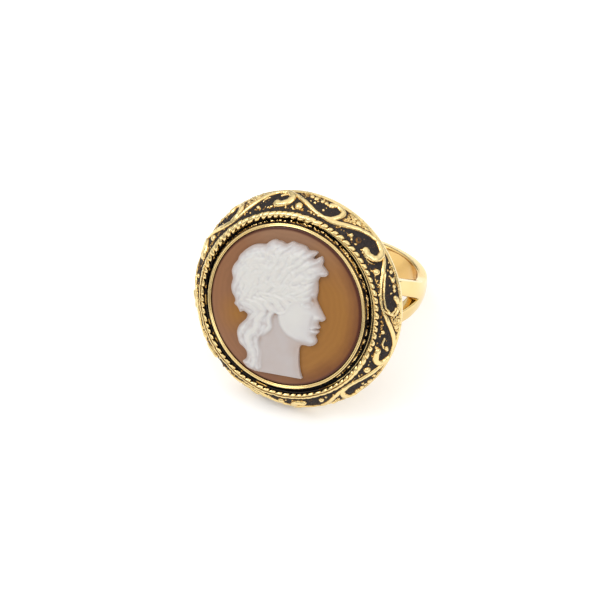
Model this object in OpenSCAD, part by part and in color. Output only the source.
// Cameo ring, lying on its side: a split shank under a round cast frame with rope and scrolls in
// relief, a polished collet, and a two-layer shell cameo.
// The ring is built upright, with the finger hole along Z and the head toward -Y. at_rest() then
// leans it back until the frame's rim and the shank's lower edge both stand on the surface.

/* [Shank] */
// Inside diameter of the finger hole
finger_d = 17.1; // [15:0.1:20]
// Wall of the shank, measured outward from the finger hole
shank_t = 1.2; // [1:0.1:1.6]
// Width of the plain back of the shank
shank_w = 3.1; // [2.6:0.1:3.6]
// Width of the shank where it splits
split_w = 4.1; // [3.8:0.1:4.8]
// Width over both arms where they meet the head
shoulder_w = 7.6; // [7:0.1:8.6]
// Width of one arm at the head
arm_w = 2.0; // [1.6:0.1:2.4]
// Angle past the side of the finger hole at which the shank splits
split_angle = 2; // [0:1:8]
// Angle at which the shoulders leave the circle and run straight up to the head
shoulder_angle = 15; // [12:1:22]
// Angle up to which the arms follow the finger hole
wall_angle = 50; // [48:1:54]
// Clear height between the outside of the shank's circle and the back of the head
head_lift = 2.3; // [1.6:0.1:3]

/* [Frame] */
// Width of the border, from the cameo's opening to the outside of the head
border_w = 3.35; // [2.95:0.05:4.35]
// Thickness of the frame's back plate and of the round rim wire
rim_t = 0.6; // [0.5:0.1:0.8]
// Height of the scroll band above the rim
band_h = 2.8; // [2.4:0.1:3]
// Bulge of the scroll band's curve
band_bulge = 0.3; // [0.15:0.05:0.45]
// Diameter of the twisted rope
rope_d = 0.62; // [0.5:0.02:0.7]
// Strands that show along the rope
rope_strands = 88; // [70:2:96]
// Width of the dark channel between the rope and the collet
channel_w = 0.55; // [0.4:0.05:0.7]
// Depth of the dark channel below the rope's seat
channel_depth = 0.5; // [0.3:0.1:0.8]
// Waves of the scroll round the head
waves = 6; // [5:1:7]
// Angle of one crest of the scroll, from the head's right-hand side
crest_angle = 50; // [0:5:60]
// Width of the wavy stem
stem_w = 0.5; // [0.35:0.05:0.6]
// Height of the relief above the scroll band
relief_h = 0.3; // [0.2:0.05:0.4]
// Outside diameter of a hook
hook_d = 2.3; // [1.8:0.1:2.4]
// Width of a hook at its thickest
hook_w = 0.8; // [0.5:0.05:0.9]
// Diameter of the largest beads
bead_d = 0.7; // [0.5:0.05:0.8]

/* [Collet] */
// Diameter of the cameo that shows inside the collet
cameo_open_d = 18.3; // [17.6:0.1:18.8]
// Wall of the collet
collet_t = 0.5; // [0.4:0.05:0.6]
// Height of the collet's lip above the rim
lip_h = 3.6; // [3.4:0.1:4.2]
// Height of the ledge that the cameo sits on
ledge_h = 1.0; // [0.6:0.1:1.4]
// Width of that ledge
ledge_w = 0.8; // [0.5:0.1:1.2]

/* [Cameo] */
// Depth of the cameo's edge below the collet's lip
edge_depth = 0.45; // [0.3:0.05:0.6]
// Rise of the cameo's domed ground
dome_rise = 0.5; // [0.3:0.05:0.8]
// Height of the carved figure, from the neck's cut to the top of the hair, as a share of the opening
figure_tall = 0.84; // [0.76:0.01:0.86]
// Width of the carved figure over the hair, as a share of the opening
figure_wide = 0.64; // [0.58:0.01:0.68]
// Lean of the figure, to its back
figure_lean = 11; // [5:1:14]
// Place of the figure's middle to the right of the cameo's, as a share of the opening
figure_aside = -0.038; // [-0.05:0.002:0]
// Place of the figure's middle above the cameo's, as a share of the opening
figure_above = -0.027; // [-0.04:0.001:0]
// Thickness of the white layer at its highest
white_t = 1.1; // [0.8:0.05:1.4]
// Thickness of the white layer at its outline
white_edge_t = 0.3; // [0.2:0.05:0.4]

/* [Clearances] */
// Gap between the collet and the frame, all round
collet_gap = 0.05; // [0.03:0.01:0.08]
// Gap between the cameo and the collet, all round
cameo_gap = 0.03; // [0.02:0.01:0.06]
// Gap between the two layers of the cameo
layer_gap = 0.03; // [0.02:0.01:0.05]

/* [Hidden] */

// Shank, in the upright ring
finger_r = finger_d / 2;
shank_r = finger_r + shank_t;
head_y = shank_r + head_lift + rim_t;
back_y = head_y - rim_t;
split_y = shank_r * sin(split_angle);
widen_y = -shank_r * 0.2;
knee_y = split_y + (back_y - split_y) * 0.35;
weld = 0.3;
past = 1;

// Frame, measured from the middle of the rim's plane: radii, and heights along the head's axis
head_d = cameo_open_d + 2 * border_w;
head_r = head_d / 2;
rim_r = rim_t / 2;
rim_mid_r = head_r - rim_r;
collet_r = cameo_open_d / 2 + collet_t;
channel_in_r = collet_r + collet_gap;
channel_out_r = channel_in_r + channel_w;
rope_mid_r = channel_out_r + rope_d / 2;
rope_h = band_h + rope_d * 0.3;
band_in_r = channel_out_r + rope_d;
rim_facets = 88;
wave_angle = 360 / waves;

// The scroll band is an arc of the frame's section, from its inner end to its outer end
band_a = [band_in_r, band_h];
band_b = [rim_mid_r, 0];
band_chord = norm(band_b - band_a);
band_arc_r = (pow(band_chord / 2, 2) + pow(band_bulge, 2)) / (2 * band_bulge);
band_along = (band_b - band_a) / band_chord;
band_out = [-band_along[1], band_along[0]];
band_mid = (band_a + band_b) / 2 + band_out * (band_bulge - band_arc_r);
band_half = asin(band_chord / 2 / band_arc_r);
band_start = atan2(band_out[1], band_out[0]) + band_half;
band_len = band_arc_r * 2 * band_half * PI / 180;

// Cameo
cameo_r = cameo_open_d / 2 - cameo_gap;
edge_h = lip_h - edge_depth;
dome_r = (pow(cameo_r, 2) + pow(dome_rise, 2)) / (2 * dome_rise);
dome_mid = edge_h + dome_rise - dome_r;
figure_h = figure_tall * cameo_open_d;
figure_w = figure_wide * cameo_open_d;
figure_x = figure_aside * cameo_open_d;
figure_y = figure_above * cameo_open_d;

// The ring leans on two edges: the round rim, and the shank's lower back corner
rim_edge = [-rim_r, -rim_mid_r];
back_edge = [-(head_y + shank_r), -shank_w / 2];
rest_span = norm(back_edge - rim_edge);
lean = atan2(back_edge[1] - rim_edge[1], rim_edge[0] - back_edge[0]) + asin(rim_r / rest_span);
floor_z = head_y * sin(lean) + back_edge[0] * sin(lean) + back_edge[1] * cos(lean);
rope_front = (head_y + rope_h) * cos(lean) + rope_mid_r * sin(lean) + rope_d / 2;
lip_front = (head_y + lip_h - collet_t / 2) * cos(lean) + (collet_r - collet_t / 2) * sin(lean) + collet_t / 2;
front_y = -max(rope_front, lip_front);
rear_y = shank_r * cos(lean) + shank_w / 2 * sin(lean);

// Outline of the carved figure, from the neck's cut up. Columns: height, back and front as shares
// of figure_h and figure_w, where the hair ends as a share of the width, and the layer's thickness
OUT_UP = 0;
OUT_BACK = 1;
OUT_FRONT = 2;
OUT_HAIR = 3;
OUT_THICK = 4;
figure_outline = [
    [0.00, -0.29, 0.30, 0.16, 0.30],
    [0.05, -0.37, 0.27, 0.24, 0.36],
    [0.10, -0.34, 0.24, 0.28, 0.42],
    [0.16, -0.29, 0.22, 0.32, 0.48],
    [0.22, -0.33, 0.21, 0.36, 0.54],
    [0.25, -0.38, 0.23, 0.38, 0.62],
    [0.27, -0.40, 0.33, 0.36, 0.74],
    [0.30, -0.41, 0.40, 0.34, 0.80],
    [0.34, -0.41, 0.38, 0.32, 0.84],
    [0.37, -0.40, 0.41, 0.32, 0.86],
    [0.39, -0.38, 0.40, 0.32, 0.87],
    [0.42, -0.36, 0.43, 0.33, 0.88],
    [0.45, -0.35, 0.42, 0.36, 0.90],
    [0.48, -0.38, 0.50, 0.40, 0.90],
    [0.52, -0.44, 0.47, 0.48, 0.93],
    [0.62, -0.48, 0.40, 0.62, 0.96],
    [0.66, -0.49, 0.42, 0.68, 0.98],
    [0.73, -0.49, 0.41, 0.84, 1.00],
    [0.76, -0.48, 0.46, 1.00, 1.00],
    [0.84, -0.46, 0.50, 1.00, 0.98],
    [0.90, -0.40, 0.40, 1.00, 0.95],
    [0.96, -0.26, 0.24, 1.00, 0.90],
    [1.00, -0.10, 0.08, 1.00, 0.80]
];
figure_rows = 44;
figure_columns = 20;
hair_waves = 5;
hair_t = 0.16;

function column(share, which) = lookup(share, [for (row = figure_outline) [row[OUT_UP], row[which]]]);
function band_at(t, lift = 0) =
    let (a = band_start - 2 * band_half * t)
    band_mid + (band_arc_r + lift) * [cos(a), sin(a)];
function on_band(phi, t, lift = 0) =
    let (p = band_at(t, lift))
    [p[0] * cos(phi), p[0] * sin(phi), p[1]];
function unit(v) = v / norm(v);
function dome_at(x, y) = dome_mid + sqrt(pow(dome_r, 2) - x * x - y * y);

// Puts the head's own frame, with its axis along Z, on the upright ring
module on_head() {
    translate([0, -head_y, 0]) rotate([90, 0, 0]) children();
}

// Lays the upright ring on its side, with the origin under the middle of its box
module at_rest() {
    translate([0, -(front_y + rear_y) / 2, -floor_z]) rotate([-lean, 0, 0]) children();
}

// Skin of a closed solid from a grid of points: each row is one closed section
module swept(rows, closed) {
    sides = len(rows[0]);
    count = len(rows);
    last = closed ? count - 1 : count - 2;
    points = [for (row = rows) each row];
    sleeve = [
        for (i = [0:last]) for (j = [0:sides - 1])
            let (a = i * sides, b = (i + 1) % count * sides, k = (j + 1) % sides)
            each [[a + j, a + k, b + k], [a + j, b + k, b + j]]
    ];
    caps = closed ? [] : [
        [for (j = [sides - 1:-1:0]) j],
        [for (j = [0:sides - 1]) (count - 1) * sides + j]
    ];
    polyhedron(points, concat(sleeve, caps));
}

// A rounded ridge along a path on the scroll band. Each path row is [angle, share of the band,
// half width]
module ridge(path, closed = false) {
    count = len(path);
    section = [[-1, -0.8], [-0.72, 0.55], [0, 1], [0.72, 0.55], [1, -0.8]];
    rows = [
        for (i = [0:count - 1])
            let (
                before = path[closed ? (i + count - 1) % count : max(i - 1, 0)],
                after = path[closed ? (i + 1) % count : min(i + 1, count - 1)],
                here = path[i],
                along = unit(on_band(after[0], after[1]) - on_band(before[0], before[1])),
                up = unit(on_band(here[0], here[1], 1) - on_band(here[0], here[1])),
                side = unit(cross(up, along))
            )
            [for (s = section) on_band(here[0], here[1], s[1] * relief_h) + side * s[0] * here[2]]
    ];
    swept(rows, closed);
}

// The stem that waves between the rope and the rim, with its crests at the rim
module stem() {
    stations = 12;
    swing = 0.5 - stem_w / 2 / band_len - 0.04;
    ridge(
        [for (i = [0:waves * stations - 1])
            let (turn = i * wave_angle / stations)
            [crest_angle + turn, 0.5 + swing * cos(turn * waves), stem_w / 2]],
        closed = true
    );
}

// A C-shaped hook that leaves the stem and curls back to a round end, under a crest or, with
// flip -1, over a trough
module hook(phi, flip) {
    stations = 9;
    curl_r = (hook_d - hook_w) / 2;
    degrees_per_mm = 180 / PI / band_at(0.5)[0];
    start = 70;
    sweep = 215;
    mid = phi - stem_w * degrees_per_mm;
    function place(a) = [mid + curl_r * cos(a) * degrees_per_mm, 0.5 + flip * curl_r * sin(a) / band_len];
    ridge([for (i = [0:stations - 1])
        let (a = start + sweep * i / (stations - 1), swell = sin(180 * i / (stations - 1)))
        [place(a)[0], place(a)[1], stem_w * 0.4 * (1 - swell) + hook_w / 2 * swell]]);
    tip = place(start + sweep);
    bead(tip[0], tip[1], bead_d);
}

// A round bead, half sunk in the scroll band
module bead(phi, t, d) {
    translate(on_band(phi, t)) sphere(d = d, $fn = 8);
}

// The twisted rope, as a ring whose oval section turns from station to station
module rope() {
    per_strand = 2;
    stations = rope_strands * per_strand;
    sides = 6;
    oval = 0.16;
    rows = [
        for (i = [0:stations - 1])
            let (phi = i * 360 / stations, turn = 180 * i / per_strand)
            [for (j = [0:sides - 1])
                let (
                    a = 360 * j / sides,
                    r = rope_d / 2 * (1 - oval + oval * cos(2 * (a - turn))),
                    out = rope_mid_r + r * cos(a)
                )
                [out * cos(phi), out * sin(phi), rope_h + r * sin(a)]]
    ];
    swept(rows, closed = true);
}

// The frame's plain section: back plate, round rim, scroll band, rope seat, channel and cup
module frame_section() {
    rim_arc = [for (a = [-90:30:90]) [rim_mid_r + rim_r * cos(a), -rim_r + rim_r * sin(a)]];
    band_arc = [for (t = [0.83, 0.67, 0.5, 0.33, 0.17, 0]) band_at(t)];
    polygon(concat(
        [[0, -rim_t]],
        rim_arc,
        band_arc,
        [[channel_out_r, band_h], [channel_out_r, band_h - channel_depth]],
        [[channel_in_r, band_h - channel_depth], [channel_in_r, 0], [0, 0]]
    ));
}

// The cast frame with its relief, held to its full diameter
module frame() {
    resize([head_d, head_d, 0]) union() {
        rotate_extrude($fn = rim_facets) frame_section();
        rope();
        stem();
        for (i = [0:waves - 1]) {
            crest = crest_angle + i * wave_angle;
            trough = crest + wave_angle / 2;
            hook(crest, 1);
            hook(trough, -1);
            bead(crest - wave_angle * 0.22, 0.2, bead_d);
            bead(crest + wave_angle * 0.2, 0.18, bead_d * 0.75);
            bead(crest + wave_angle * 0.1, 0.3, bead_d * 0.6);
            bead(trough - wave_angle * 0.23, 0.84, bead_d * 0.65);
            bead(trough + wave_angle * 0.17, 0.8, bead_d * 0.7);
        }
    }
}

// The hoop seen along the finger, with shoulders that run straight up to the head
module shank_side() {
    long = shoulder_w + 2 * past;
    top_y = back_y + weld;
    leave = shank_r * [cos(shoulder_angle), sin(shoulder_angle)];
    top_x = leave[0] - (top_y - leave[1]) * tan(shoulder_angle);
    wall = finger_r * [cos(wall_angle), sin(wall_angle)];
    difference() {
        union() {
            cylinder(r = shank_r, h = long, center = true, $fn = 128);
            linear_extrude(long, center = true) polygon([
                [0, 0], [-leave[0], -leave[1]], [-top_x, -top_y], [top_x, -top_y], [leave[0], -leave[1]]
            ]);
        }
        cylinder(r = finger_r, h = long + past, center = true, $fn = 128);
        translate([-wall[0], -top_y - past, -long]) cube([2 * wall[0], top_y + past - wall[1], 2 * long]);
    }
}

// Extrudes half widths, each [distance toward the head, half width], across the whole ring
module across_ring(half_widths) {
    rotate([90, 0, 90]) linear_extrude(4 * head_y, center = true) polygon(concat(
        [for (p = half_widths) [-p[0], p[1]]],
        [for (i = [len(half_widths) - 1:-1:0]) [-half_widths[i][0], -half_widths[i][1]]]
    ));
}

// The hoop cut to its widths, with a wedge taken out between the two arms on each side
module shank() {
    tip = 0.08;
    gap = shoulder_w / 2 - arm_w;
    difference() {
        intersection() {
            shank_side();
            across_ring([
                [-shank_r - past, shank_w / 2],
                [widen_y, shank_w / 2],
                [split_y, split_w / 2],
                [knee_y, split_w / 4 + shoulder_w / 4],
                [back_y + weld, shoulder_w / 2]
            ]);
        }
        across_ring([[split_y, tip], [knee_y, tip + (gap - tip) * 0.65], [back_y, gap]]);
    }
}

// Split shank and cast frame, soldered into one
module shank_and_frame() {
    color("goldenrod") at_rest() {
        shank();
        on_head() frame();
    }
}

// Polished cup with a rounded lip, standing on the frame's plate
module collet() {
    lip_r = collet_t / 2;
    open_r = cameo_open_d / 2;
    color("gold") at_rest() on_head() rotate_extrude($fn = 128) polygon(concat(
        [[open_r - ledge_w, 0], [collet_r, 0]],
        [for (a = [0:20:180]) [open_r + lip_r + lip_r * cos(a), lip_h - lip_r + lip_r * sin(a)]],
        [[open_r, ledge_h], [open_r - ledge_w, ledge_h]]
    ));
}

// The brown layer of the shell, domed on top
module cameo_ground() {
    color("saddlebrown") at_rest() on_head() intersection() {
        translate([0, 0, ledge_h]) cylinder(r = cameo_r, h = lip_h, $fn = 128);
        translate([0, 0, dome_mid]) sphere(r = dome_r, $fn = 128);
    }
}

// The white layer: a head in profile with dressed hair, as a skin over rows across the figure
module cameo_head() {
    function place(x, y) = [
        figure_x + x * cos(figure_lean) - y * sin(figure_lean),
        figure_y + x * sin(figure_lean) + y * cos(figure_lean)
    ];
    function thick(up, across) =
        let (
            hair = column(up, OUT_HAIR),
            body = pow(max(0, 1 - pow(abs(2 * across - 1), 2.6)), 0.5),
            in_hair = across < hair ? 1 : 0,
            wave = in_hair * hair_t * (0.4 + 0.6 * sin(360 * hair_waves * (across + 0.35 * sin(300 * up))))
        )
        white_edge_t + (white_t - white_edge_t) * body * (column(up, OUT_THICK) * 0.86 + wave);
    function spot(i, j) =
        let (
            up = j / figure_rows,
            across = i / figure_columns,
            back = column(up, OUT_BACK) * figure_w,
            front = column(up, OUT_FRONT) * figure_w
        )
        place(back + (front - back) * across, (up - 0.5) * figure_h);
    under = [
        for (j = [0:figure_rows]) for (i = [0:figure_columns])
            let (p = spot(i, j))
            [p[0], p[1], dome_at(p[0], p[1]) + layer_gap]
    ];
    over = [
        for (j = [0:figure_rows]) for (i = [0:figure_columns])
            let (p = spot(i, j))
            [p[0], p[1], dome_at(p[0], p[1]) + layer_gap + thick(j / figure_rows, i / figure_columns)]
    ];
    wide = figure_columns + 1;
    top = len(under);
    function quad(a, b, c, d) = [[a, b, c], [a, c, d]];
    faces = concat(
        [for (j = [0:figure_rows - 1]) for (i = [0:figure_columns - 1])
            let (a = j * wide + i) each quad(top + a, top + a + wide, top + a + wide + 1, top + a + 1)],
        [for (j = [0:figure_rows - 1]) for (i = [0:figure_columns - 1])
            let (a = j * wide + i) each quad(a, a + 1, a + wide + 1, a + wide)],
        [for (j = [0:figure_rows - 1])
            let (a = j * wide) each quad(a, a + wide, top + a + wide, top + a)],
        [for (j = [0:figure_rows - 1])
            let (a = j * wide + figure_columns) each quad(a, top + a, top + a + wide, a + wide)],
        [for (i = [0:figure_columns - 1])
            each quad(i, top + i, top + i + 1, i + 1)],
        [for (i = [0:figure_columns - 1])
            let (a = figure_rows * wide + i) each quad(a, a + 1, top + a + 1, top + a)]
    );
    color("ghostwhite") at_rest() on_head() polyhedron(concat(under, over), faces);
}

shank_and_frame();
collet();
cameo_ground();
cameo_head();
